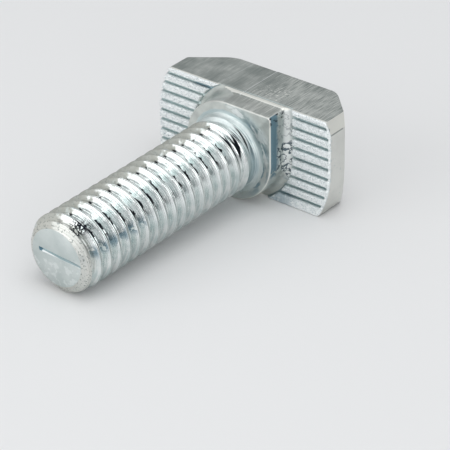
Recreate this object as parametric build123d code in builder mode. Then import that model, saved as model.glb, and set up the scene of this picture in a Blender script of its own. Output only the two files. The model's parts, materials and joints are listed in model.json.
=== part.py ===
from build123d import *
import os
from math import atan, ceil, cos, floor, radians, sin, tan

# T-slot bolt, M6 x 20, with a hammer head for an 8 mm profile slot. It is cold-headed and
# thread-rolled from one blank. The head drops into the slot lengthwise, and a quarter of a turn
# locks it: two opposite corners are rounded so that it can turn, and two are square to stop it.
#
# The bolt is made upright, and then laid down as it rests:
#   X  along the head's long side
#   Y  across the head
#   Z  along the shank, with the serrated bearing face at 0, the crown below it, the tip above it

# hammer head
head_length = 16.0
head_width = 8.0
left_end_height = 1.44
right_end_height = 1.86
crown_height = 4.4
crown_length = 9.4
crown_offset = 0.72
crown_edge_radius = 0.35
turning_corner_radius = 0.25
stop_corner_along = 0.45
stop_corner_across = 0.95

# collar that fills the slot's mouth
collar_width = 7.8
collar_height = 1.66
collar_corner_radius = 0.25
collar_rim_chamfer = 0.1
cove_radius = 0.6
cove_clearance = 0.04

# serrations of the bearing pads
serration_depth = 0.3
groove_count = 9
groove_pitch = 0.82
groove_width = 0.42
groove_floor_width = 0.12
first_groove_inset = 0.53

# shank and rolled thread
shank_end = 20.3
pitch = 1.0
crest_radius = 2.95
neck_radius = 2.65
neck_fillet_radius = 0.85
thread_start = 2.47
ramp_start = 2.95
ramp_length = 0.65
root_ramp_length = 1.3
core_clearance = 0.03
full_thread_end = 19.4
tip_chamfer_start = 20.0
tip_chamfer_radius = 2.75
tip_radius = 2.2

# the 60 degree ISO thread form, as shares of its pitch
flank_angle = 30.0
crest_flat = pitch / 8
root_flat = pitch / 4

# mark across the tip that shows how the head lies in the slot
mark_length = 3.9
mark_width = 0.5
mark_depth = 0.22

# distance by which a cutter runs past what it cuts
overrun = 0.5

thread_depth = (pitch - crest_flat - root_flat) / 2 / tan(radians(flank_angle))
root_radius = crest_radius - thread_depth
floor_height = -serration_depth


def draw_turning_outline(length, width):
    """Round about the shank in two opposite quarters, and square in the other two."""
    Circle(length / 2)
    with PolarLocations(0, 2):
        Rectangle(length / 2, width / 2, align=Align.MIN)
    Rectangle(length, width, mode=Mode.INTERSECT)


def in_turning_quarter(vertex):
    return vertex.X * vertex.Y < -1


with BuildSketch() as head_outline:
    draw_turning_outline(head_length, head_width)
    fillet(head_outline.vertices().filter_by(in_turning_quarter), turning_corner_radius)
    with PolarLocations(0, 2):
        Polygon(
            (head_length / 2 - stop_corner_along, head_width / 2),
            (head_length / 2, head_width / 2),
            (head_length / 2, head_width / 2 - stop_corner_across),
            align=None,
            mode=Mode.SUBTRACT,
        )

with BuildSketch() as collar_outline:
    draw_turning_outline(collar_width, collar_width)
    square_corners = collar_outline.vertices().filter_by(lambda v: v.X * v.Y > 1)
    fillet(square_corners, collar_corner_radius)

# serrated pads: a slab over the head's ends, open round the collar's cove, with grooves across it
with BuildPart() as pads:
    with BuildSketch(Plane.XY.offset(floor_height - overrun)):
        add(head_outline.sketch)
        offset(collar_outline.sketch, amount=cove_radius + cove_clearance, mode=Mode.SUBTRACT)
        Rectangle(collar_width, 2 * head_width, mode=Mode.SUBTRACT)
    extrude(amount=overrun + serration_depth)
    first_groove = head_width / 2 - first_groove_inset
    with BuildSketch(Plane.YZ):
        with Locations(*[(first_groove - n * groove_pitch, 0) for n in range(groove_count)]):
            Polygon(
                (-groove_floor_width / 2, floor_height),
                (groove_floor_width / 2, floor_height),
                (groove_width / 2, 0),
                (-groove_width / 2, 0),
                align=None,
            )
    extrude(amount=head_length, both=True, mode=Mode.SUBTRACT)

with BuildPart() as upright:
    # collar on a plate larger than the head, with a cove round the collar's foot
    with BuildSketch(Plane.XY.offset(floor_height)):
        Rectangle(2 * head_length, 2 * head_width)
    extrude(amount=-crown_height)
    with BuildSketch(Plane.XY.offset(floor_height)):
        add(collar_outline.sketch)
    extrude(amount=serration_depth + collar_height)
    plate_top = upright.faces().filter_by(Axis.Z).sort_by(Axis.Z)[-2]
    fillet(plate_top.inner_wires()[0].edges(), cove_radius)
    chamfer(upright.faces().sort_by(Axis.Z)[-1].edges(), collar_rim_chamfer)

    # head trimmed to its outline, which cuts off the cove beside the flats, and then to its crown
    with BuildSketch(Plane.XY.offset(collar_height)):
        add(head_outline.sketch)
    extrude(amount=-crown_height - collar_height, mode=Mode.INTERSECT)
    with BuildSketch(Plane.XZ) as crown_profile:
        Polygon(
            (-head_length / 2, collar_height),
            (-head_length / 2, -left_end_height),
            (crown_offset - crown_length / 2, -crown_height),
            (crown_offset + crown_length / 2, -crown_height),
            (head_length / 2, -right_end_height),
            (head_length / 2, collar_height),
            align=None,
        )
        fillet(crown_profile.vertices().group_by(Axis.Y)[0], crown_edge_radius)
    extrude(amount=head_width, both=True, mode=Mode.INTERSECT)
    add(pads.part)

# thread cutter: one turn of the groove, whose form is cut a little past the crests
with BuildPart() as groove_turn:
    with BuildLine() as groove_path:
        Helix(pitch, pitch, root_radius, center=(0, 0, thread_start))
    with BuildSketch(Plane(groove_path.line @ 0, x_dir=(1, 0, 0), z_dir=groove_path.line % 0)):
        groove_height = thread_depth + crest_flat / 2
        groove_mouth = root_flat / 2 + groove_height * tan(radians(flank_angle))
        Polygon(
            (0, -root_flat / 2),
            (0, root_flat / 2),
            (groove_height, groove_mouth),
            (groove_height, -groove_mouth),
            align=None,
        )
    sweep(path=groove_path.line, is_frenet=True)

# rolled crests, from the ramp at the neck to the chamfered tip
with BuildPart() as thread:
    with BuildSketch(Plane.XZ):
        Polygon(
            (0, ramp_start),
            (neck_radius, ramp_start),
            (crest_radius, ramp_start + ramp_length),
            (crest_radius, full_thread_end),
            (tip_chamfer_radius, tip_chamfer_start),
            (tip_radius, shank_end),
            (0, shank_end),
            align=None,
        )
    revolve(axis=Axis.Z)
    turns = ceil((shank_end - thread_start) / pitch) + 1
    with Locations(*[(0, 0, turn * pitch) for turn in range(turns)]):
        add(groove_turn.part, mode=Mode.SUBTRACT)

# flare, neck and core: the core narrows from the neck, so the groove deepens over its first turn
with BuildPart() as core:
    with BuildSketch(Plane.XZ):
        with BuildLine():
            flare = CenterArc(
                (neck_radius + neck_fillet_radius, collar_height + neck_fillet_radius),
                neck_fillet_radius,
                180,
                90,
            )
            Polyline(
                flare @ 0,
                (neck_radius, ramp_start),
                (root_radius - core_clearance, ramp_start + root_ramp_length),
                (root_radius - core_clearance, full_thread_end),
                (0, full_thread_end),
                (0, floor_height),
                ((flare @ 1).X, floor_height),
                flare @ 1,
            )
        make_face()
    revolve(axis=Axis.Z)

with BuildPart() as bolt:
    add(upright.part)
    add(core.part)
    add(thread.part)
    with BuildSketch(Plane.YZ):
        Polygon(
            (-mark_width / 2, shank_end),
            (0, shank_end - mark_depth),
            (mark_width / 2, shank_end),
            align=None,
        )
    extrude(amount=mark_length / 2, both=True, mode=Mode.SUBTRACT)

# The bolt lies on the lower edge of its head and on the last full crest of its underside, -Y.
# The groove comes round to -Y after three quarters of a turn, and its crest half a pitch later.
turns_to_underside = 0.75 + 0.5
full_turns = floor((full_thread_end - thread_start) / pitch - turns_to_underside)
rest_crest = thread_start + (full_turns + turns_to_underside) * pitch
rest_angle = atan((head_width / 2 - crest_radius) / rest_crest)
lying = Plane((0, 0, 0), x_dir=(0, 1, 0), z_dir=(cos(rest_angle), 0, -sin(rest_angle)))
lying_box = (lying.location * bolt.part).bounding_box()

with BuildPart() as t_slot_bolt:
    with Locations(Location((-lying_box.center().X, 0, -lying_box.min.Z)) * lying.location):
        add(bolt.part)

t_slot_bolt.part.label = "t_slot_bolt"
os.makedirs("parts", exist_ok=True)
export_step(t_slot_bolt.part, "parts/t_slot_bolt.step")
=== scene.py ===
# %% [markdown]
# # A T-slot bolt, zinc plated
#
# The bolt was cold-headed and thread-rolled from one blank, so it is one piece of steel. The packed
# model gives its true sizes. This lesson builds a finer skin over it: first the frame, then the
# head, the collar and the thread, then the plating, and last the light and the camera.

# %% Load the frame
import json
from math import atan2, ceil, cos, degrees, exp, hypot, pi, radians, sin, sqrt, tan

import bmesh
import bpy
from mathutils import Matrix, Vector, noise


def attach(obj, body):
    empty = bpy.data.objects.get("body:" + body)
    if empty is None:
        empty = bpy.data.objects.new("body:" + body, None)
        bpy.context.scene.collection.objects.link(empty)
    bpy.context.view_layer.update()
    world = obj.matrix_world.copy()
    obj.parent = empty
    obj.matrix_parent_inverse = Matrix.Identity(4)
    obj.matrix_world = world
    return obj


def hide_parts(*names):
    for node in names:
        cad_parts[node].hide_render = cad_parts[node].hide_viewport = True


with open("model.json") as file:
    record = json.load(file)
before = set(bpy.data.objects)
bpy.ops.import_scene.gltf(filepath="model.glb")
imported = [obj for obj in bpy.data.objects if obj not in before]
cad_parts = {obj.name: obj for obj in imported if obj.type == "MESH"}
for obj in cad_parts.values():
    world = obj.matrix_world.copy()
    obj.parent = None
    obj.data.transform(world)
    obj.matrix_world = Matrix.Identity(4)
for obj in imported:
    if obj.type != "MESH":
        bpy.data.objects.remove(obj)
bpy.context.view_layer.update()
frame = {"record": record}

# %% [markdown]
# ## The bolt's own axes
#
# The bolt lies on its head's edge and on its thread, a few degrees off level. It is easier to model
# upright, in millimetres, and to lay it down at the end with one matrix. The record's mounts say
# where the shank's tip is and which way it points, so nothing is fitted by eye. Upright, X runs
# along the head, Y across it and Z up the shank, with the bearing face at 0.

# %% A matrix from upright millimetres to the frame's metres
mounts = {mount["name"]: mount for mount in frame["record"]["mounts"]}
tipward = Vector(mounts["thread"]["axis"]).normalized()
upper = Vector(mounts["collar_side_upper"]["axis"]).normalized()
along = upper.cross(tipward).normalized()
shank_end = 20.3
metre = 0.001
bearing_centre = Vector(mounts["thread"]["pos_m"]) - tipward * shank_end * metre
turn_down = Matrix((along, upper, tipward)).transposed()
lay_down = Matrix.Translation(bearing_centre) @ turn_down.to_4x4() @ Matrix.Scale(metre, 4)
tilt = atan2(-tipward.z, tipward.x)
print("the shank points", round(degrees(tilt), 2), "degrees down")


# %% [markdown]
# ## Small tools for meshes
#
# A bmesh is Blender's editable mesh. Each piece below is made in one, from a simple start that
# operators spin or extrude. Its points are then pulled to the right place with a formula. The
# Bevel modifier could round the edges, but a soft limit in the formula blends two heights without
# a corner and needs no clean-up, which is how real edges look after plating.

# %% Soft edges
def soft_min(a, b, radius):
    """The smaller of two heights, rounded where they meet."""
    h = max(radius - abs(a - b), 0.0) / radius
    return min(a, b) - h * h * radius / 4


def smooth_step(low, high, value):
    """0 at low and 1 at high, with a smooth rise between; a fall if low is the larger."""
    t = min(max((value - low) / (high - low), 0.0), 1.0)
    return t * t * (3 - 2 * t)


def edge_drop(distance, radius):
    """How far a round edge falls away at this distance from the rim."""
    if distance >= radius:
        return 0.0
    reach = radius - max(distance, 0.0)
    return radius - sqrt(max(radius * radius - reach * reach, 0.0))


print("half-way in, a round edge has fallen by", round(edge_drop(0.5, 1.0), 2), "of its radius")


# %% Rough surfaces and finished pieces
def grain(x, y, z, size):
    """Smooth random height from -1 to 1, whose bumps are about this size across."""
    return noise.noise(Vector((x, y, z)) / size)


sharp_angle = radians(35)


def finish_piece(bm, name, finish_of):
    """Turns an upright bmesh into a piece that lies in the frame, and sorts its faces by finish."""
    bmesh.ops.recalc_face_normals(bm, faces=bm.faces)
    for face in bm.faces:
        face.smooth = True
        face.material_index = finish_of(face)
    bmesh.ops.transform(bm, matrix=lay_down, verts=bm.verts)
    mesh = bpy.data.meshes.new(name)
    bm.to_mesh(mesh)
    bm.free()
    mesh.set_sharp_from_angle(angle=sharp_angle)
    piece = bpy.data.objects.new(name, mesh)
    bpy.context.scene.collection.objects.link(piece)
    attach(piece, "root")
    print(name, len(mesh.polygons), "faces")
    return piece


print("edges sharper than", round(degrees(sharp_angle)), "degrees stay sharp")


# %% [markdown]
# ## The hammer head
#
# The head is a flat plate with a crowned back, forged on the end of the blank. Two opposite
# corners are round about the shank, so that it can turn in the slot, and two are nearly square, so
# that it stops. Its front is pressed into serrations, whose lands stay coarse, and the press's two
# halves meet in a fine step across its sides.
#
# Booleans could cut the grooves, but they leave slivers where a groove meets the rounded rim. Here
# a flat grid is extruded once and its points are pulled to a formula, so the outline, the crown,
# the rim and the grooves all share one even mesh.

# %% Head sizes
head_length = 16.0
head_width = 8.0
left_end_height = 1.44
right_end_height = 1.86
crown_height = 4.4
crown_length = 9.4
crown_offset = 0.72
crown_edge = 0.5
turning_corner = 0.15
stop_corner_along = 0.45
stop_corner_across = 0.95
rim_radius = 0.13
wall_support = 0.08
parting_step = 0.03
print("head", head_length, "x", head_width, "mm, with a crown", crown_height, "mm deep")

# %% Serration sizes
serration_depth = 0.3
groove_count = 9
groove_pitch = 0.82
groove_width = 0.4
groove_floor = 0.1
first_groove_inset = 0.53
fade_share = 0.75
fade_from, fade_to = 0.32, 0.2
coarse_size, fine_size = 0.16, 0.08
fine_share = 0.7
groove_roughness, land_roughness = 0.003, 0.03
land_top = 0.025
print(groove_count, "grooves over", round(groove_count * groove_pitch, 2), "mm of the head's width")

# %% Collar sizes
collar_width = 7.8
collar_height = 1.66
collar_corner = 0.25
cove_radius = 0.6
relief = 0.62
relief_rise = (relief - 0.04, relief + 0.1)
print("collar", collar_width, "mm wide and", collar_height, "mm tall")


# %% The head's outline
def head_reach(y):
    """Half the head's length at this height, towards the +X end."""
    if y >= 0:
        cut = (y - head_width / 2 + stop_corner_across) / stop_corner_across
        return head_length / 2 - stop_corner_along * max(cut, 0.0)
    reach = sqrt((head_length / 2) ** 2 - y * y)
    return reach - edge_drop(y + head_width / 2, turning_corner)


def collar_distance(x, y):
    """Distance out from the collar's outline, which is round in two quarters and square in two."""
    if x * y < 0:
        return hypot(x, y) - collar_width / 2
    inner = collar_width / 2 - collar_corner
    over_x, over_y = abs(x) - inner, abs(y) - inner
    outside = hypot(max(over_x, 0.0), max(over_y, 0.0))
    return outside + min(max(over_x, over_y), 0.0) - collar_corner


print("the head reaches", round(head_reach(3.9), 2), "mm near its stop corner,",
      round(head_reach(-3.9), 2), "mm near its round one")


# %% The head's front and crown
def serration(y):
    """Height of the pads across the grooves: 0 on a land, -serration_depth in a groove."""
    first = head_width / 2 - first_groove_inset
    nearest = min(max(round((first - y) / groove_pitch), 0), groove_count - 1)
    off = abs(y - first + nearest * groove_pitch)
    return serration_depth * (smooth_step(groove_floor / 2, groove_width / 2, off) - 1)


def pad_height(x, y):
    """Height of the head's front face, whose grooves fade near the +X rim."""
    land = serration(y) * (1 - fade_share * smooth_step(fade_from, fade_to, head_reach(y) - x))
    pad = smooth_step(*relief_rise, collar_distance(x, y))
    height = -serration_depth + pad * (land + serration_depth)
    coarse = grain(x, y, 0, coarse_size) + fine_share * grain(x, y, 3, fine_size)
    on_land = smooth_step(-serration_depth, -0.05, land) * pad
    return height + coarse * (groove_roughness + land_roughness * on_land) - land_top * on_land


def crown_depth(x):
    """Depth of the head behind its bearing face."""
    left_shoulder = crown_offset - crown_length / 2
    right_shoulder = crown_offset + crown_length / 2
    left_slope = (crown_height - left_end_height) / (left_shoulder + head_length / 2)
    right_slope = (crown_height - right_end_height) / (head_length / 2 - right_shoulder)
    left = left_end_height + (x + head_length / 2) * left_slope
    right = right_end_height + (head_length / 2 - x) * right_slope
    return soft_min(soft_min(left, crown_height, crown_edge), right, crown_edge)


print("the crown is", round(crown_depth(0), 2), "mm deep in the middle and",
      round(crown_depth(-7), 2), "mm near its left end")

# %% A grid, extruded once
along_steps = 250
across_steps = 160
head = bmesh.new()
level = head.verts.layers.float.new("level")
bmesh.ops.create_grid(head, x_segments=along_steps, y_segments=across_steps, size=1)
for vertex in head.verts:
    vertex[level] = 1
grown = bmesh.ops.extrude_face_region(head, geom=head.faces[:])
for vertex in (item for item in grown["geom"] if isinstance(item, bmesh.types.BMVert)):
    vertex[level] = -1
walls = [edge for edge in head.edges if edge.verts[0][level] != edge.verts[1][level]]
bmesh.ops.subdivide_edges(head, edges=walls, cuts=2, use_grid_fill=True)
print("two sheets and their wall:", len(head.faces), "faces")


# %% Pull the points to the head's shape
def spread(share):
    """Moves grid lines closer together near both ends of -1 to 1, where the edges are rounded."""
    return share * 0.6 + sin(share * pi / 2) * 0.4


for vertex in head.verts:
    y = spread(vertex.co.y) * head_width / 2
    share = (spread(vertex.co.x) + 1) / 2
    x = -head_reach(-y) * (1 - share) + head_reach(y) * share
    rim = min(head_reach(y) - x, x + head_reach(-y), head_width / 2 - abs(y))
    front_z = pad_height(x, y) - edge_drop(rim, rim_radius)
    back_z = -crown_depth(x) + edge_drop(rim, rim_radius)
    if vertex[level] > 0:
        z = front_z - wall_support * (vertex[level] < 1)
    else:
        z = back_z + wall_support * (vertex[level] > -1)
    if x < 0:
        side = abs(y) * 2 / head_width
        y *= 1 - parting_step / head_width * 2 * smooth_step(0.9, 1, side)
    vertex.co = (x, y, z)

press_front, brushed_side, smooth_skin = range(3)


def head_finish(face):
    """Sorts a face of the head by the way it points."""
    centre = face.calc_center_median()
    if face.normal.z > 0.3 and centre.z > -serration_depth - rim_radius:
        return press_front
    if abs(face.normal.y) > 0.8:
        return brushed_side
    return smooth_skin


hammer_head = finish_piece(head, "hammer_head", head_finish)


# %% [markdown]
# ## The collar
#
# The collar fills the slot's mouth and keeps the head straight. A cove runs round its foot, and the
# press trimmed that cove level with the head's sides and crinkled a patch of it on one side.
#
# A cube and a cylinder could be joined for it. A ring that is extruded again and again is tidier:
# it follows the cove, the wall and the rim in even bands, and each point slides out to the
# round-and-square outline. Two cuts then trim the cove.

# %% The collar's outline and its crinkled patch
ring_steps = 480
rim_chamfer = 0.1
cove_steps = 14
large_crinkle, small_crinkle = 0.06, 0.04
crinkle_lift = 0.015


def collar_reach(angle, out):
    """Distance from the axis to the collar's outline, set off by out, in this direction."""
    half = collar_width / 2 + out
    c, s = cos(angle), sin(angle)
    if c * s < 0:
        return half
    centre, corner = collar_width / 2 - collar_corner, collar_corner + out
    c, s = abs(c), abs(s)
    flat = half / max(c, s)
    if flat * min(c, s) <= centre:
        return flat
    return centre * (c + s) + sqrt(max(corner * corner - (centre * (c - s)) ** 2, 0.0))


def crinkle(x, y, z):
    """Height of the crinkled patch of the cove, on its +X side."""
    patch = smooth_step(-2.2, -1.7, y) * (1 - smooth_step(0.9, 1.3, y)) * smooth_step(2, 3, x)
    patch *= smooth_step(-0.32, -0.2, z) * smooth_step(0.95, 0.7, z)
    folds = large_crinkle * grain(x, y, z, 0.28) + small_crinkle * grain(x, y, z + 5, 0.13)
    return patch * (folds + crinkle_lift)


print("the collar reaches", round(collar_reach(0, 0), 2), "mm along,",
      round(collar_reach(pi / 4, 0), 2), "mm to its corner")

# %% Stations up the collar: how far out, and how high
stations = [(cove_radius + 0.2, -serration_depth - 0.05), (cove_radius, -serration_depth - 0.004)]
for step in range(1, cove_steps + 1):
    turn = step / cove_steps * pi / 2
    height = cove_radius * (1 - cos(turn)) - serration_depth
    stations.append((cove_radius * (1 - sin(turn)), height))
stations += [(0.0, 0.3 + step * 0.1) for step in range(1, 8)]
stations += [
    (0.0, collar_height - rim_chamfer - 0.02),
    (-0.012, collar_height - rim_chamfer * 0.75),
    (-rim_chamfer * 0.7, collar_height - 0.012),
    (-rim_chamfer, collar_height),
]
print(len(stations), "stations from the cove's foot to the rim")

# %% Extrude the ring from station to station
collar = bmesh.new()
bmesh.ops.create_circle(collar, segments=ring_steps, radius=1, cap_ends=False)
ring = sorted(collar.verts, key=lambda v: atan2(v.co.y, v.co.x))
angles = [atan2(v.co.y, v.co.x) for v in ring]
ring_edges = collar.edges[:]
for number, (out, height) in enumerate(stations):
    if number:
        grown = bmesh.ops.extrude_edge_only(collar, edges=ring_edges)["geom"]
        ring_edges = [item for item in grown if isinstance(item, bmesh.types.BMEdge)]
        vertices = [item for item in grown if isinstance(item, bmesh.types.BMVert)]
        ring = sorted(vertices, key=lambda v: atan2(v.co.y, v.co.x))
    for vertex, angle in zip(ring, angles):
        reach = collar_reach(angle, out)
        x, y = reach * cos(angle), reach * sin(angle)
        lift = crinkle(x, y, height)
        vertex.co = (x + lift * 0.5, y, height + lift)
bmesh.ops.holes_fill(collar, edges=collar.edges[:], sides=0)
print("the collar has", len(collar.faces), "faces before it is trimmed")

# %% Trim the collar level with the head's sides
for side in (1, -1):
    bmesh.ops.bisect_plane(
        collar,
        geom=collar.verts[:] + collar.edges[:] + collar.faces[:],
        plane_co=(0, side * head_width / 2, 0),
        plane_no=(0, side, 0),
        clear_outer=True,
    )
    bmesh.ops.holes_fill(collar, edges=collar.edges[:], sides=0)

trimmed_from = 3.87


def collar_finish(face):
    """The trimmed sides are brushed, and the rest keeps its skin."""
    on_side = abs(face.calc_center_median().y) > trimmed_from and abs(face.normal.z) < 0.95
    return brushed_side if on_side else smooth_skin


slot_collar = finish_piece(collar, "slot_collar", collar_finish)


# %% [markdown]
# ## The rolled thread
#
# A thread die presses a groove into a round blank, and the metal swells into crests, with a fine
# seam where the two flanks' metal meets. The crests rise out of a plain neck and end at a chamfer.
#
# The Screw modifier could turn the profile, but its ends are hard to shape. Here one pitch of the
# profile is spun once about the axis with a rise of one pitch, and copies of that turn are stacked
# and merged, which is much quicker than spinning the whole length. Two limits then shape the ends:
# no point may lie outside the blank, or inside the core with its neck and flare.

# %% Thread sizes
pitch = 1.0
crest_radius = 2.95
crest_flat = pitch / 8
crest_rounding = 0.05
flank_angle = radians(30)
root_radius = 2.38
seam_depth = 0.035
seam_width = 0.022
thread_start = 2.47
crest_place = thread_start + pitch / 2
print("thread", round(crest_radius - root_radius, 2), "mm deep, with a pitch of", pitch, "mm")

# %% Neck and tip sizes
neck_radius = 2.65
neck_fillet = 0.7
first_ridge = (1.9, 2.3)
ramp_start = 2.95
ramp_middle = 3.6
root_ramp_length = 1.3
core_clearance = 0.03
full_thread_end = 19.4
tip_chamfer_start = 20.0
tip_chamfer_radius = 2.75
tip_radius = 2.199
wear_depth = 0.02
wear_size = 0.3
print("full thread from", ramp_start + root_ramp_length, "to", full_thread_end, "mm")


# %% The blank and the core
def between(value, points):
    """Straight-line value from a short list of (place, value) pairs."""
    for (a, at_a), (b, at_b) in zip(points, points[1:]):
        if value <= b:
            return at_a + (at_b - at_a) * max(value - a, 0.0) / (b - a)
    return points[-1][1]


def flare_radius(z):
    """Radius of the neck and of the fillet at its foot."""
    drop = max(collar_height + neck_fillet - z, 0.0)
    return neck_radius + neck_fillet - sqrt(max(neck_fillet**2 - drop**2, 0.0))


def outer_limit(z):
    """Radius of the blank, which no point may pass."""
    blank = between(z, [
        (first_ridge[0], neck_radius),
        (first_ridge[1], crest_radius),
        (full_thread_end, crest_radius),
        (tip_chamfer_start, tip_chamfer_radius),
        (shank_end, tip_radius),
    ])
    return max(blank, flare_radius(z)) if z < ramp_start else blank


def inner_limit(z):
    """Radius of the core, which no groove may cut."""
    if z < ramp_start:
        return flare_radius(z)
    core = root_radius - core_clearance
    return between(z, [(ramp_start, neck_radius), (ramp_start + root_ramp_length, core)])


print("at 3.4 mm up, the core has a radius of", round(inner_limit(3.4), 2), "mm")


# %% The thread's profile
def thread_radius(off):
    """Radius of the thread at this distance along the axis from a crest."""
    flank = crest_radius - (abs(off) - crest_flat / 2) / tan(flank_angle)
    seam = seam_depth * exp(-((off / seam_width) ** 2))
    return max(soft_min(flank, crest_radius, crest_rounding), root_radius) - seam


print("on the crest the seam leaves a radius of", round(thread_radius(0), 3), "mm")

# %% Spin one turn of the profile
turn_steps = 120
crest_offsets = [0, 0.012, 0.024, 0.04, 0.055, 0.07, 0.09]
flank_offsets = [0.12, 0.16, 0.2, 0.24, 0.28, 0.32, 0.36, 0.38, 0.42]
offsets = crest_offsets + flank_offsets
offsets = [-0.5 * pitch] + [-off for off in reversed(offsets[1:])] + offsets + [0.5 * pitch]
first_turn = -3
turns = ceil(shank_end - crest_place) - first_turn + 1
first_crest = crest_place + first_turn * pitch

shank = bmesh.new()
profile = [shank.verts.new((thread_radius(off), 0, first_crest + off)) for off in offsets]
edges = [shank.edges.new(pair) for pair in zip(profile, profile[1:])]
bmesh.ops.spin(
    shank,
    geom=profile + edges,
    cent=(0, 0, 0),
    axis=(0, 0, 1),
    dvec=(0, 0, pitch / turn_steps),
    angle=2 * pi,
    steps=turn_steps,
    use_merge=False,
)
print("one turn has", len(shank.faces), "faces")

# %% Stack the turns
one_turn = shank.verts[:] + shank.edges[:] + shank.faces[:]
for turn in range(1, turns):
    copied = bmesh.ops.duplicate(shank, geom=one_turn)["geom"]
    vertices = [item for item in copied if isinstance(item, bmesh.types.BMVert)]
    bmesh.ops.translate(shank, verts=vertices, vec=(0, 0, turn * pitch))
bmesh.ops.remove_doubles(shank, verts=shank.verts, dist=0.0005)
print(turns, "turns have", len(shank.faces), "faces")


# %% Cut the shank across wherever an edge has to lie
def cut_across(height, **cleared):
    """Cuts the shank across at this height, and clears one side if asked to."""
    bmesh.ops.bisect_plane(
        shank,
        geom=shank.verts[:] + shank.edges[:] + shank.faces[:],
        plane_co=(0, 0, height),
        plane_no=(0, 0, 1),
        **cleared,
    )


cut_across(collar_height - 0.1, clear_inner=True)
cut_across(shank_end, clear_outer=True)
fillet_rises = (0.008, 0.03, 0.07, 0.14, 0.24)
bends = (*first_ridge, ramp_start, ramp_middle, full_thread_end, tip_chamfer_start)
for height in (*(collar_height + rise for rise in fillet_rises), *bends):
    cut_across(height)
print(len(fillet_rises) + len(bends), "cuts across the shank")

# %% Hold the shank between the core and the blank
for vertex in shank.verts:
    x, y, z = vertex.co
    radius = hypot(x, y)
    wanted = min(max(radius, inner_limit(z)), outer_limit(z))
    near_tip = smooth_step(full_thread_end - 1, shank_end, z)
    worn = wear_depth * grain(x, y, z, wear_size) * near_tip
    wanted += min(worn, 0.0) * smooth_step(root_radius, crest_radius, radius)
    vertex.co = (x * wanted / radius, y * wanted / radius, z)
bmesh.ops.holes_fill(shank, edges=shank.edges[:], sides=0)
crests = max(hypot(v.co.x, v.co.y) for v in shank.verts if v.co.z > ramp_middle)
print("the thread is", round(crests * 2, 2), "mm thick")

# %% [markdown]
# ## The mark across the tip
#
# A shallow V across the tip shows how the hidden head lies in the slot. A boolean with a wedge
# could cut it, but a few cuts do it more simply: three across the tip's face draw the V's two edges
# and its valley, two more draw its blunt end, and only the valley's points are pressed down.

# %% Mark sizes
mark_start = -1.62
mark_width = 0.34
mark_depth = 0.2
mark_off_axis = 0.13
mark_turn = radians(-3)
mark_blunt_end = 0.06
hair = 0.0005

mark_along = Vector((cos(mark_turn), sin(mark_turn), 0))
mark_across = Vector((-sin(mark_turn), cos(mark_turn), 0))
print("the mark is", mark_width, "mm wide and", mark_depth, "mm deep")


# %% Cut the tip's face along the mark
def tip_faces():
    """The faces that lie flat on the tip."""
    return [face for face in shank.faces if min(v.co.z for v in face.verts) > shank_end - hair]


def cut_tip(direction, distance):
    """Cuts the tip's face along a line at this distance from the axis."""
    faces = tip_faces()
    edges = {edge for face in faces for edge in face.edges}
    vertices = {vertex for face in faces for vertex in face.verts}
    bmesh.ops.bisect_plane(
        shank,
        geom=list(vertices) + list(edges) + faces,
        plane_co=direction * distance,
        plane_no=direction,
    )


for distance in (-mark_width / 2, 0, mark_width / 2):
    cut_tip(mark_across, mark_off_axis + distance)
for distance in (mark_start, mark_start + mark_blunt_end):
    cut_tip(mark_along, distance)
print("the tip has", len(tip_faces()), "faces")

# %% Press the mark's valley down
for vertex in {v for face in tip_faces() for v in face.verts}:
    off_valley = abs(vertex.co.dot(mark_across) - mark_off_axis)
    past_end = vertex.co.dot(mark_along) - mark_start - mark_blunt_end
    if off_valley < 2 * hair and past_end > -2 * hair:
        vertex.co.z -= mark_depth

rolled_skin, cut_tip_skin = range(2)


def shank_finish(face):
    """The tip's face and its mark are cut, and the rest is rolled."""
    low, high = min(v.co.z for v in face.verts), max(v.co.z for v in face.verts)
    reach = max(hypot(v.co.x, v.co.y) for v in face.verts)
    at_tip = high > shank_end - hair and low > shank_end - mark_depth - 0.01
    return cut_tip_skin if at_tip and reach < tip_radius + 2 * hair else rolled_skin


threaded_shank = finish_piece(shank, "threaded_shank", shank_finish)

# %% Hide the plain solid
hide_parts("t_slot_bolt")
print("hammer_head stands for t_slot_bolt, and the collar and the shank complete it")


# %% [markdown]
# ## Writing shader maths in Python
#
# A material is a graph of nodes, which can be wired by hand in the Shader Editor. In a script that
# takes many lines, so the first class below wraps one socket and overloads Python's operators: an
# expression such as `1 - mask * 0.5` adds the Math nodes by itself. The second class holds a tree,
# and its `node` method adds any other node: its kind, its settings, then its inputs.
#
# A finish reads the bolt's own axes, so the numbers in a mask such as `x.step(3.6, 3.8)` are places
# on the bolt in millimetres.

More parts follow.
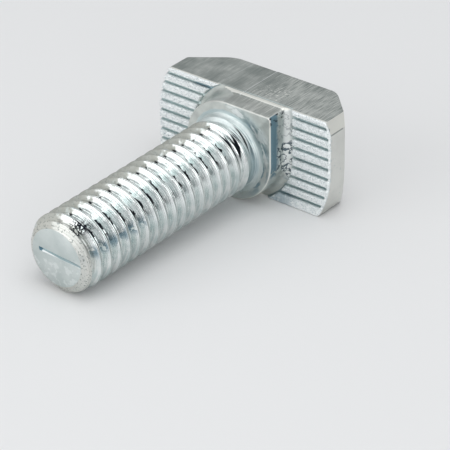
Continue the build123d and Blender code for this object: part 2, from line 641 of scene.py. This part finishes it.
# %% A wire: one node's output
class Wire:
    """A node's output that can be used in Python expressions."""

    def __init__(self, graph, socket):
        self.graph = graph
        self.socket = socket

    def math(self, operation, *others):
        """Adds a Math node that takes this wire first."""
        inputs = dict(enumerate((self, *others)))
        return self.graph.node("ShaderNodeMath", {"operation": operation}, inputs)

    def __add__(self, other):
        return self.math("ADD", other)

    def __mul__(self, other):
        return self.math("MULTIPLY", other)

    def __sub__(self, other):
        return self.math("SUBTRACT", other)

    def __rsub__(self, other):
        inputs = {0: other, 1: self}
        return self.graph.node("ShaderNodeMath", {"operation": "SUBTRACT"}, inputs)

    def __truediv__(self, other):
        return self.math("DIVIDE", other)

    def __abs__(self):
        return self.math("ABSOLUTE")

    __radd__ = __add__
    __rmul__ = __mul__

    def step(self, low, high):
        """0 below low and 1 above high, with a smooth rise between; a fall if low is the larger."""
        if low > high:
            return 1 - self.step(high, low)
        settings = {"interpolation_type": "SMOOTHSTEP"}
        inputs = {"Value": self, "From Min": low, "From Max": high}
        return self.graph.node("ShaderNodeMapRange", settings, inputs)

    def within(self, low, high, soft):
        """1 between low and high and 0 outside, with a soft border on both sides."""
        return self.step(low - soft, low + soft) * self.step(high + soft, high - soft)


print("a wire turns + - * / and abs into Math nodes")


# %% A graph: the nodes of one tree
class Graph:
    """A node tree, with one method that adds any node."""

    def __init__(self, tree):
        self.tree = tree

    def feed(self, socket, value):
        """Links a wire to a socket, or sets the socket's own value."""
        if isinstance(value, Wire):
            self.tree.links.new(value.socket, socket)
        else:
            socket.default_value = value

    def node(self, kind, settings, inputs, output=0):
        """Adds a node and returns one of its outputs."""
        made = self.tree.nodes.new(kind)
        for name, value in settings.items():
            setattr(made, name, value)
        for name, value in inputs.items():
            self.feed(made.inputs[name], value)
        return Wire(self, made.outputs[output])


print("a graph adds any node with its settings first and its inputs second")


# %% A finish: one material, coat upon coat
class Finish(Graph):
    """One material of the bolt, whose colour is built up in coats over a first colour."""

    def __init__(self, name, first_colour):
        self.material = bpy.data.materials.new(name)
        self.material.use_nodes = True
        super().__init__(self.material.node_tree)
        self.colour = first_colour
        self.shader = self.tree.nodes["Principled BSDF"]
        self.shader.inputs["Metallic"].default_value = 1.0
        laid = self.node("ShaderNodeTexCoord", {}, {}, "Object")
        self.place = self.node("ShaderNodeMapping", {"vector_type": "TEXTURE"}, {
            "Vector": laid,
            "Location": bearing_centre,
            "Rotation": turn_down.to_euler(),
            "Scale": (metre, metre, metre),
        })
        self.x, self.y, self.z = (
            self.node("ShaderNodeSeparateXYZ", {}, {"Vector": self.place}, axis) for axis in "XYZ")

    def point(self, x, y, z):
        """Three values as one vector."""
        return self.node("ShaderNodeCombineXYZ", {}, {"X": x, "Y": y, "Z": z})

    def noise(self, scale, detail=2.0, vector=None):
        """Random value near 0.5, whose bumps are one over scale across."""
        inputs = {"Vector": vector or self.place, "Scale": scale, "Detail": detail}
        return self.node("ShaderNodeTexNoise", {}, inputs)

    def coat(self, factor, colour):
        """Lays a colour over the one so far, as thick as the factor says, from 0 to 1."""
        inputs = {0: factor, 6: self.colour, 7: colour}
        self.colour = self.node("ShaderNodeMix", {"data_type": "RGBA"}, inputs, 2)

    def bump(self, height, strength):
        """Feeds a height in hundredths of a millimetre to the shader's normal."""
        inputs = {"Height": height, "Strength": strength, "Distance": 0.01 * metre}
        self.feed(self.shader.inputs["Normal"], self.node("ShaderNodeBump", {}, inputs))

    def paint(self, roughness):
        """Feeds the colour so far and a roughness to the shader."""
        self.feed(self.shader.inputs["Base Color"], self.colour)
        self.feed(self.shader.inputs["Roughness"], roughness)
        print(self.material.name, "has", len(self.tree.nodes), "nodes")


print("patterns are measured in units of", metre, "m from the bearing face")


# %% [markdown]
# ## The plating's colours
#
# Zinc plating is a thin bright skin with a blue-green tint from its last bath. Pale warm highlights
# are painted on its edges and corners, steel blue shade in its hollows, and black dark reflections
# in the roots of the thread; black also marks real pits and scars. The same few colours are blended
# in every finish below, so that the pieces match.

# %% Colours
white_zinc = (0.95, 0.98, 0.98, 1)
pale_zinc = (0.82, 0.85, 0.84, 1)
cool_zinc = (0.57, 0.655, 0.65, 1)
dull_teal = (0.36, 0.46, 0.48, 1)
steel_blue = (0.16, 0.27, 0.33, 1)
warm_edge = (0.88, 0.88, 0.83, 1)
warm_grey = (0.66, 0.66, 0.62, 1)
worn_zinc = (0.47, 0.48, 0.44, 1)
grey_zinc = (0.27, 0.30, 0.285, 1)
light_grey = (0.62, 0.64, 0.61, 1)
deep_blue = (0.05, 0.09, 0.12, 1)
pit_and_reflection_black = (0.012, 0.015, 0.02, 1)
print("fresh zinc reflects", white_zinc[1], "of green light, a pit", pit_and_reflection_black[1])


# %% [markdown]
# ## Brushed sides
#
# The head's two long sides and the collar's flats are trimmed by a punch that moves along the bolt
# and leaves fine lines. A picture of brushed steel would blur close up, so the lines are noise that
# is squeezed along X and stretched along Z. The front edge is rounded, and a pale band painted
# along it is a highlight on that curve. One fine line in the middle is where the press's two halves
# met.

# %% Brushed lines, with more contrast on the right half
brushed = Finish("zinc_brushed_side", grey_zinc)
lines = brushed.noise(1.0, 5.0, brushed.point(brushed.x * 6, 0.0, brushed.z * 0.3))
fine = brushed.noise(1.0, 3.0, brushed.point(brushed.x * 20, 0.0, brushed.z * 0.9))
cloud = brushed.noise(0.55, 3.0)
right_half = brushed.x.step(-1.0, 2.5)
contrast = right_half * 1.7 + 0.8
shade = ((lines - 0.5) * 0.7 + (fine - 0.5) * 1.2) * contrast
shade = shade + (cloud - 0.5) * 1.3 + 0.37 + right_half * 0.14
brushed.coat(shade.step(0.0, 1.0), light_grey)
print("the brushed lines take", len(brushed.tree.nodes), "nodes")

# %% Chips, the parting line, a scratch and a painted highlight on the front edge
chipped_along = (0.5, 3.0)
chipped_deep = (-2.4, -0.5)
parting_place = -0.03
scratch_place, scratch_lean = -2.4, 0.05
highlight_band_from = (-0.26, -0.16)

on_collar = brushed.z.step(0.1, 0.2)
brushed.coat(on_collar * 0.25, warm_grey)
chips = brushed.noise(5.0, 3.0)
chipped = brushed.x.within(*chipped_along, 0.5) * brushed.z.within(*chipped_deep, 0.3)
brushed.coat(chips.step(0.58, 0.64) * chipped * 0.8, warm_edge)
brushed.coat(chips.step(0.40, 0.36) * chipped * 0.6, grey_zinc)
parting = abs(brushed.x - parting_place).step(0.06, 0.02) * (1 - on_collar)
scratch = abs(brushed.x - scratch_place + brushed.z * scratch_lean).step(0.04, 0.01)
brushed.coat(parting * 0.9 + scratch * 0.35, pale_zinc)
# A pale warm band painted along the rounded front edge is a highlight.
waver = brushed.noise(1.6, 2.0) * 0.12
front_edge_highlight = (brushed.z + waver).step(*highlight_band_from) * brushed.z.step(0.08, 0.02)
brushed.coat(front_edge_highlight * 0.9, warm_edge)
brushed.paint(shade * 0.1 + 0.36 + front_edge_highlight * 0.15)
brushed.bump(lines * 0.8 + fine * 1.5 + chips * chipped * 3, 0.4)


# %% [markdown]
# ## Pressed pads
#
# The press leaves the lands of the pads coarse, and the plating makes every small bump sparkle;
# shade is painted in the small hollows between the bumps. The grooves between them stay smooth and
# blue, with painted shade in their floors. The faces could be sorted into two materials, but the
# border would follow the mesh. Height tells a groove from its land at every point instead.

# %% Lands and grooves
land_rise = (-0.26, -0.12)
groove_fall = (-0.17, -0.28)
pads_from = (4.7, 5.0)

pressed = Finish("zinc_pressed_pad", cool_zinc)
land = pressed.z.step(*land_rise)
right_pad = pressed.x.step(-2, 2)
sparkle = pressed.noise(6.5, 2.0)
glitter = pressed.noise(11.0, 1.0)
pressed.coat(land, white_zinc)
# Teal painted in the grooves' floors is shade, heavier on the right.
groove_floor_shade = pressed.z.step(*groove_fall) * abs(pressed.x).step(*pads_from)
pressed.coat(groove_floor_shade * (pressed.x.step(-4, 4) * 0.2 + 0.3), dull_teal)
specks = pressed.noise(15.0, 1.0).step(0.46, 0.36)
# Steel blue painted in the lands' small hollows is shade, heavier towards the lower side and
# lighter on the right pad.
hollow_shade = (sparkle + glitter * 0.4).step(0.59, 0.54)
pressed.coat(specks * land * 0.6, dull_teal)
lower = pressed.y.step(1.5, -3.5)
hollow_shade_weight = (lower * 0.55 + 0.2) * (1 - right_pad * 0.6)
pressed.coat(hollow_shade * land * hollow_shade_weight, steel_blue)
print("lands and grooves take", len(pressed.tree.nodes), "nodes")

# %% Painted shadow at the collar's foot, and painted shade in the upper corner's grooves
# Steel blue painted on the pads below the collar's foot is its shadow.
foot_shadow = pressed.y.step(-1.2, -2.8) * pressed.x.step(5.4, 3.6) * pressed.x.step(0.5, 1.5)
foot_shadow = foot_shadow * pressed.noise(2.0, 3.0).step(0.35, 0.5)
pressed.coat(foot_shadow * 0.6, steel_blue)
# Steel blue painted in the grooves of the upper corner, beside the collar, is shade.
corner = pressed.y.step(2.6, 3.4) * pressed.x.within(-4.6, -2.6, 0.3)
pressed.coat(corner * (1 - land) * 0.7, steel_blue)
pressed.paint(0.45 - land * 0.07)
pressed.feed(pressed.shader.inputs["Metallic"], 1 - land * (right_pad * 0.2 + 0.45))
pressed.bump(sparkle * land * 7 + glitter * land * 6, 1.0)


# %% [markdown]
# ## Smooth skin
#
# The head's ends and crown, the collar and the tip keep the matt skin that the dies gave them, with
# faint clouds and a few pits. Each has marks of its own: the head's cut corner has a painted
# highlight and painted shade along the crease below it, the collar's wall has a painted dark
# reflection above the patch that the press crinkled, and the tip is mottled, with painted
# highlights and shade in its mark. One function makes the skin that they share, so each cell adds
# only its own marks.

# %% The skin that the smooth faces share
cloud_scale = 0.8


def smooth_finish(name, tint, base):
    """Returns a finish with clouds between two colours and a few pits, and its clouds."""
    finish = Finish(name, tint)
    cloud = finish.noise(cloud_scale, 4.0)
    spots = finish.noise(3.4, 2.0).step(0.66, 0.74)
    finish.coat(cloud.step(0.3, 0.7), base)
    finish.coat(spots * 0.35, dull_teal)
    finish.bump(finish.noise(5.0, 3.0) * 2 + cloud * 3, 0.5)
    return finish, cloud


print("the smooth skins have clouds about", round(1 / cloud_scale, 2), "mm across")

# %% The head's ends and crown
end_face = (7.4, 7.5)
crease_ends = (-1.7, -1.5)
corner_foot = head_width / 2 - stop_corner_across

head_skin, cloud = smooth_finish(
    "zinc_smooth_head", (0.66, 0.67, 0.64, 1), (0.73, 0.74, 0.71, 1))
facet_highlight = head_skin.y.step(corner_foot, 3.1) * head_skin.x.step(*end_face)
crease_shade = abs(head_skin.y - corner_foot).step(0.07, 0.03)
crease_shade = crease_shade * head_skin.x.step(*end_face) * head_skin.z.step(*crease_ends)
rim_highlights = head_skin.z.step(-0.2, -0.1)
# A pale coat painted on the cut facet and on the front rims is a highlight, and grey painted along
# the crease below the facet is shade.
head_skin.coat(facet_highlight * 0.8, warm_edge)
head_skin.coat(rim_highlights * 0.8, warm_edge)
head_skin.coat(crease_shade * 0.8, grey_zinc)
head_skin.paint(cloud * 0.16 + 0.34 + facet_highlight * 0.2)

# %% The collar's wall: a painted dark reflection above the crinkled cove
collar_skin, cloud = smooth_finish(
    "zinc_smooth_collar", (0.50, 0.53, 0.51, 1), (0.66, 0.69, 0.66, 1))
crinkled_across = (-1.9, 1.3)
on_wall = collar_skin.x.step(3.6, 3.8)
mottle = collar_skin.noise(2.2, 3.0)
# Steel blue painted on the upper wall is a dark reflection, and steel blue painted on its lower
# part is shade.
wall_dark_reflection = on_wall * collar_skin.z.step(1.6, 1.5)
wall_dark_reflection = wall_dark_reflection * (mottle + collar_skin.y * 0.09).step(0.3, 0.42)
wall_dark_reflection = wall_dark_reflection * (collar_skin.z + mottle * 0.6).step(0.95, 1.15)
crinkled = collar_skin.x.step(3.75, 3.85) * collar_skin.z.step(1.0, 0.8)
patch = collar_skin.y.within(*crinkled_across, 0.2) * 0.6 + collar_skin.y.step(-1.9, -1.5) * 0.4
crinkled = crinkled * patch
outlines = abs(collar_skin.noise(1.7, 2.0) - 0.5).step(0.045, 0.015)
lower_wall_shade = on_wall * collar_skin.y.step(-1.5, -2.2) * mottle.step(0.42, 0.5)
cove_foot = collar_skin.x.step(3.85, 4.0) * collar_skin.z.step(0.5, 0.2)
print("the collar's wall takes", len(collar_skin.tree.nodes), "nodes")

# %% The collar's front: painted shade in a ring and a painted highlight round the neck
front = collar_skin.z.step(1.62, 1.65)
from_axis = (collar_skin.x * collar_skin.x + collar_skin.y * collar_skin.y).math("SQRT")
around = collar_skin.y.math("ARCTAN2", collar_skin.x) / (2 * pi)
ring_arc = (-0.14, 0.17)
dark_arc = (0.04, 0.14)
neck_highlight_arc = (0.02, 0.24)
# Blue painted in a ring beyond the fillet's foot is shade, deepest over the dark arc, and white
# painted beyond it is a highlight.
swirl = collar_skin.noise(1.0, 4.0, collar_skin.point(from_axis * 2.4, around * 16, 0.0))
ring = front * from_axis.step(4.05, 3.5) * around.within(*ring_arc, 0.05)
neck_highlight = front * from_axis.step(4.5, 3.8) * around.within(*neck_highlight_arc, 0.04)
upper_right = collar_skin.x.step(0.3, 1.6) * collar_skin.y.step(-0.5, 1.0)
right_front = front * upper_right * from_axis.step(4.3, 3.6)
corner_pits = collar_skin.x.step(3.5, 3.7) * collar_skin.y.step(3.0, 3.5)
corner_pits = corner_pits * collar_skin.z.step(0.0, 0.2)
corner_pits = corner_pits * collar_skin.noise(4.0, 2.0).step(0.56, 0.62)
# A pale band painted on the front rim is a highlight.
rim = collar_skin.z.within(1.56, 1.64, 0.02)
print("with its front it takes", len(collar_skin.tree.nodes), "nodes")

# %% The collar's coats, in order
for factor, tint in (
    # Among these coats, the wall's dark reflection, the lower wall's shade, the ring's shade and
    # the highlights round the neck and on the rim are painted light.
    (cove_foot * 0.7, pale_zinc),
    (right_front * mottle.step(0.62, 0.35) * 0.9, white_zinc),
    (wall_dark_reflection * 0.95, steel_blue),
    (crinkled * 0.4, pale_zinc),
    (crinkled * outlines * 0.9, deep_blue),
    (right_front * mottle.step(0.35, 0.65) * 0.45, dull_teal),
    (lower_wall_shade * 0.6, steel_blue),
    (front * collar_skin.y.step(-0.5, -2.5) * 0.4, cool_zinc),
    (neck_highlight * 0.5, cool_zinc),
    (ring * swirl.step(0.58, 0.44) * 0.8, steel_blue),
    (ring * around.within(*dark_arc, 0.02) * swirl.step(0.46, 0.38), deep_blue),
    (neck_highlight * swirl.step(0.52, 0.60) * 0.9, white_zinc),
    (rim * 0.7, warm_edge),
    (corner_pits * 0.9, pit_and_reflection_black),
):
    collar_skin.coat(factor, tint)
collar_skin.paint(cloud * 0.16 + 0.38 - right_front * 0.12)

# %% The tip's face and its mark
tip_skin, cloud = smooth_finish("zinc_cut_tip", (0.56, 0.62, 0.61, 1), (0.67, 0.72, 0.71, 1))
pressed_in = tip_skin.z.step(shank_end - 0.005, shank_end - 0.02)
off_valley = tip_skin.x * mark_across.x + tip_skin.y * mark_across.y - mark_off_axis
below_face = tip_skin.z.step(shank_end - 0.01, shank_end - 0.03)
blunt_end_shade = tip_skin.x.step(mark_start + 0.3, mark_start + 0.22) * below_face
thin_lip_highlight = off_valley.within(0.045, 0.08, 0.01)
wide_lip_highlight = off_valley.step(-0.05, -0.08) * tip_skin.x.step(0.4, -0.6)
scuffs = tip_skin.noise(2.4, 3.0).step(0.52, 0.6) * tip_skin.y.step(0.0, -0.6)
# Teal painted in the mark's valley and steel blue at its blunt end are shade, and white painted on
# its lips is a highlight.
tip_skin.coat(pressed_in * off_valley.within(-0.07, 0.13, 0.01), dull_teal)
tip_skin.coat(pressed_in * thin_lip_highlight * 0.8, white_zinc)
tip_skin.coat(pressed_in * wide_lip_highlight, white_zinc)
tip_skin.coat(scuffs * 0.35, white_zinc)
tip_skin.coat(blunt_end_shade, steel_blue)
tip_skin.paint(cloud * 0.16 + 0.34)

# %% [markdown]
# ## Rolled skin
#
# The thread dies polish the flanks, so this finish is the glossiest, and a highlight is painted on
# the flanks that face the tip. Fine lines run round with the thread, painted shade and dark
# reflections break along the roots, and one side is worn and blotched, as happens where bolts rub
# together in a plating barrel.
#
# A UV map could carry the lines round, but the formula needs none. The lead angle is unwound first:
# height less the share of a turn is the same all along a crest, so a pattern on it follows the
# thread.

# %% Places on the thread
rolled = Finish("zinc_rolled_thread", cool_zinc)
turned = rolled.y.math("ARCTAN2", rolled.x) / (2 * pi)
along_profile = ((rolled.z - crest_place) / pitch - turned + 0.5).math("FRACT") - 0.5
off_crest = abs(along_profile)
threaded = rolled.z.step(ramp_start, ramp_start + 0.5)
wraps = rolled.point(rolled.x * 0.45, rolled.y * 0.45, along_profile * 24 + rolled.z * 0.1)
rolling = rolled.noise(1.0, 3.0, wraps)
patches = rolled.noise(1.1, 4.0)
blotches = rolled.noise(2.6, 3.0)
flecks = rolled.noise(7.0, 2.0)
print("places and noises on the thread take", len(rolled.tree.nodes), "nodes")

# %% A painted highlight on the flanks, and lined crests, by arcs that are shares of a turn from +X
lit_arc = (0.02, 0.26)
dull_arc = (0.145, 0.175)
streaked_arc = (0.0, 0.24)
crest_line, line_width = 0.05, 0.026

# White painted on the tip-facing flanks over the lit arc is a highlight, with a duller band across
# it.
flank_highlight = along_profile.within(0.06, 0.40, 0.03) * turned.within(*lit_arc, 0.03)
dull_band = turned.within(*dull_arc, 0.012) * blotches.step(0.36, 0.5)
streaks = rolling.step(0.42, 0.37) * turned.within(*streaked_arc, 0.03)
crest_lines = abs(off_crest - crest_line).step(line_width, 0.01) * threaded
rolled.coat((rolling + patches - 1).step(-0.22, 0.22), pale_zinc)
rolled.coat(flank_highlight * 0.8, white_zinc)
rolled.coat(dull_band * 0.7, cool_zinc)
rolled.coat(streaks * 0.6, grey_zinc)
rolled.coat(crest_lines * 0.85, grey_zinc)
print("with its flanks the thread takes", len(rolled.tree.nodes), "nodes")

# %% The worn side, and teal blots near the tip
worn_arc = (0.262, 0.42)
blot_arc = (0.03, 0.075)
blots_from = (12.5, 15.0)

worn_side = (turned + (blotches - 0.5) * 0.12).within(*worn_arc, 0.02) * threaded
rolled.coat(worn_side * (0.55 + blotches * 0.7), worn_zinc)
rolled.coat(worn_side * flecks.step(0.6, 0.66) * 0.6, grey_zinc)
teal_blots = turned.within(*blot_arc, 0.02) * along_profile.within(0.08, 0.4, 0.04)
teal_blots = teal_blots * rolled.z.step(*blots_from) * blotches.step(0.40, 0.48)
rolled.coat(teal_blots * 0.85, steel_blue)
print("with its worn side it takes", len(rolled.tree.nodes), "nodes")

# %% Painted shade and dark reflections in the roots
black_arc = (0.08, 0.195)
spot_arc = (0.248, 0.268)

# Grey painted along the roots is shade, and black painted at their edges and in spots over two arcs
# is a dark reflection.
root_shade = off_crest.step(0.37, 0.45) * 0.75
rolled.coat(root_shade * threaded, grey_zinc)
tip_side = along_profile.step(-0.02, 0.02)
root_dark_reflection = (off_crest + (blotches - 0.5) * 0.26 + tip_side * 0.035).step(0.38, 0.395)
root_dark_reflection = root_dark_reflection * turned.within(*black_arc, 0.02) * patches.step(0.42, 0.45)
root_reflection_spots = turned.within(*spot_arc, 0.006) * along_profile.within(0.26, 0.5, 0.03)
root_reflection_spots = root_reflection_spots * blotches.step(0.38, 0.46)
rolled.coat(root_dark_reflection.math("MAXIMUM", root_reflection_spots) * threaded, pit_and_reflection_black)
print("with its roots it takes", len(rolled.tree.nodes), "nodes")

# %% The scarred and pitted tip
scar_height = (18.75, 19.7)
scar_arc = (0.135, 0.205)

tip_scar = rolled.z.within(*scar_height, 0.1) * turned.within(*scar_arc, 0.02)
tip_pits = rolled.z.step(19.2, 19.7)
rolled.coat(tip_pits * 0.75, warm_grey)
rolled.coat(tip_scar * (flecks + rolling * 0.5).step(0.665, 0.72), pit_and_reflection_black)
rolled.coat(tip_pits * flecks.step(0.58, 0.64) * 0.9, grey_zinc)
print("with its tip it takes", len(rolled.tree.nodes), "nodes")

# %% The neck and the thread's run-out
neck = rolled.z.step(2.9, 2.4)
fillet_shade = rolled.z.within(1.8, 2.2, 0.1) * turned.within(-0.15, 0.13, 0.04)
run_out = rolled.z.within(2.2, 3.9, 0.1) * turned.within(0.05, 0.18, 0.03)
run_out_rings = rolled.point(rolled.x * 0.4, rolled.y * 0.4, rolled.z * 11)
run_out_lines = rolled.noise(1.0, 3.0, run_out_rings)
neck_shadow = turned.within(0.03, 0.15, 0.04) * rolled.z.within(1.9, 2.2, 0.15)
neck_shadow = neck_shadow * run_out_lines.step(0.56, 0.44)
flare_foot_shade = rolled.z.within(1.66, 1.73, 0.02) * turned.within(0.0, 0.4, 0.05)
neck_shade_band = rolled.z.within(1.95, 2.3, 0.08) * turned.within(-0.2, 0.07, 0.05)
# Teal painted at the flare's foot, steel blue on the fillet, a teal band on the neck and deep blue
# beside it are shade, and white and black painted along the run-out's rings are highlights and dark
# reflections.
rolled.coat(neck * 0.5, cool_zinc)
rolled.coat(flare_foot_shade * 0.6, dull_teal)
rolled.coat(fillet_shade * run_out_lines.step(0.62, 0.42) * 0.75, steel_blue)
rolled.coat(neck_shade_band * 0.8, dull_teal)
rolled.coat(neck_shadow * 0.8, deep_blue)
rolled.coat(run_out * run_out_lines.step(0.54, 0.60), white_zinc)
rolled.coat(run_out * run_out_lines.step(0.47, 0.41), pit_and_reflection_black)
rolled.paint(rolling * 0.14 + 0.1 + neck * 0.26 + tip_pits * 0.2 + worn_side * 0.35)
rolled.bump(rolling * 4 + patches * 3 + flecks * 0.8, 0.5)

# %% Give each piece its finishes
for piece, finishes in (
    (hammer_head, (pressed, brushed, head_skin)),
    (slot_collar, (pressed, brushed, collar_skin)),
    (threaded_shank, (rolled, tip_skin)),
):
    for finish in finishes:
        piece.data.materials.append(finish.material)
    print(piece.name, "has", [slot.name for slot in piece.data.materials])

# %% [markdown]
# ## Floor, light and camera
#
# Polished metal shows its surroundings, so the light is a small studio. A large soft panel stands
# in front and to the left, a brighter, narrower one farther off to the right, and one hangs
# overhead, in a plain grey room. A picture of a room could light it too, but panels are easier to
# move. The floor is pale and wide, and the camera looks past the tip at the head.

# %% Floor
floor_half = 3.0
floor_colour = (0.8, 0.8, 0.8, 1)
floor_roughness = 0.8
floor = bmesh.new()
bmesh.ops.create_grid(floor, x_segments=1, y_segments=1, size=floor_half)
floor_mesh = bpy.data.meshes.new("floor")
floor.to_mesh(floor_mesh)
floor.free()
floor = bpy.data.objects.new("floor", floor_mesh)
bpy.context.scene.collection.objects.link(floor)
pale = bpy.data.materials.new("pale_floor")
pale.use_nodes = True
pale_shader = pale.node_tree.nodes["Principled BSDF"]
pale_shader.inputs["Base Color"].default_value = floor_colour
pale_shader.inputs["Roughness"].default_value = floor_roughness
floor_mesh.materials.append(pale)
print("the floor is", 2 * floor_half, "m wide")

# %% World: darker walls, a lighter ceiling
wall_level = 0.3
ceiling_level = 0.75
ceiling_from = 0.7
air_colour = (0.96, 0.98, 1.0, 1)
world = bpy.data.worlds.new("studio")
bpy.context.scene.world = world
world.use_nodes = True
air = Graph(world.node_tree)
direction = air.node("ShaderNodeTexCoord", {}, {}, "Generated")
height = air.node("ShaderNodeSeparateXYZ", {}, {"Vector": direction}, "Z")
level = air.node("ShaderNodeMapRange", {"interpolation_type": "SMOOTHSTEP"}, {
    "Value": height, "From Max": ceiling_from, "To Min": wall_level, "To Max": ceiling_level})
background = air.tree.nodes["Background"]
air.feed(background.inputs["Strength"], level)
air.feed(background.inputs["Color"], air_colour)
print("the room goes from", wall_level, "at the walls to", ceiling_level, "overhead")


# %% Soft panels
def soft_panel(name, direction, distance, size, radiance):
    """A square light that faces the bolt, as bright as this radiance all over."""
    lamp = bpy.data.lights.new(name, "AREA")
    lamp.size = size
    lamp.energy = radiance * pi * size * size
    panel = bpy.data.objects.new(name, lamp)
    panel.location = bearing_centre + Vector(direction).normalized() * distance
    panel.rotation_mode = "QUATERNION"
    panel.rotation_quaternion = (bearing_centre - panel.location).to_track_quat("-Z", "Y")
    bpy.context.scene.collection.objects.link(panel)
    print(name, round(lamp.energy, 3), "W")


soft_panel("front_panel", (0.93, -0.33, 0.17), distance=0.3, size=0.3, radiance=1.35)
soft_panel("right_panel", (0.72, 0.66, 0.2), distance=0.4, size=0.26, radiance=1.7)
soft_panel("overhead_panel", (0.1, 0.2, 1), distance=0.35, size=0.25, radiance=1.5)

# %% Camera
azimuth = radians(128.054)
elevation = radians(28.643)
roll = radians(-1.222)
distance = 173.03
lens = 188.23
sensor = 36
right_of_bearing = -1.249
above_bearing = -6.137

level_reach = cos(elevation)
back_to_camera = Vector(
    (sin(azimuth) * level_reach, -cos(azimuth) * level_reach, sin(elevation)))
view_turn = (-back_to_camera).to_track_quat("-Z", "Y").to_matrix()
view_turn = view_turn @ Matrix.Rotation(-roll, 3, "Z")
aim = bearing_centre + view_turn @ Vector((right_of_bearing, above_bearing, 0)) * metre
camera_data = bpy.data.cameras.new("camera")
camera_data.lens = lens
camera_data.sensor_width = sensor
camera_data.clip_start = 0.01
camera = bpy.data.objects.new("camera", camera_data)
camera.rotation_mode = "QUATERNION"
camera.rotation_quaternion = view_turn.to_quaternion()
camera.location = aim + back_to_camera * distance * metre
bpy.context.scene.collection.objects.link(camera)
bpy.context.scene.camera = camera
bpy.context.scene.view_settings.view_transform = "Standard"
print("the camera stands", distance, "mm away with a", lens, "mm lens")
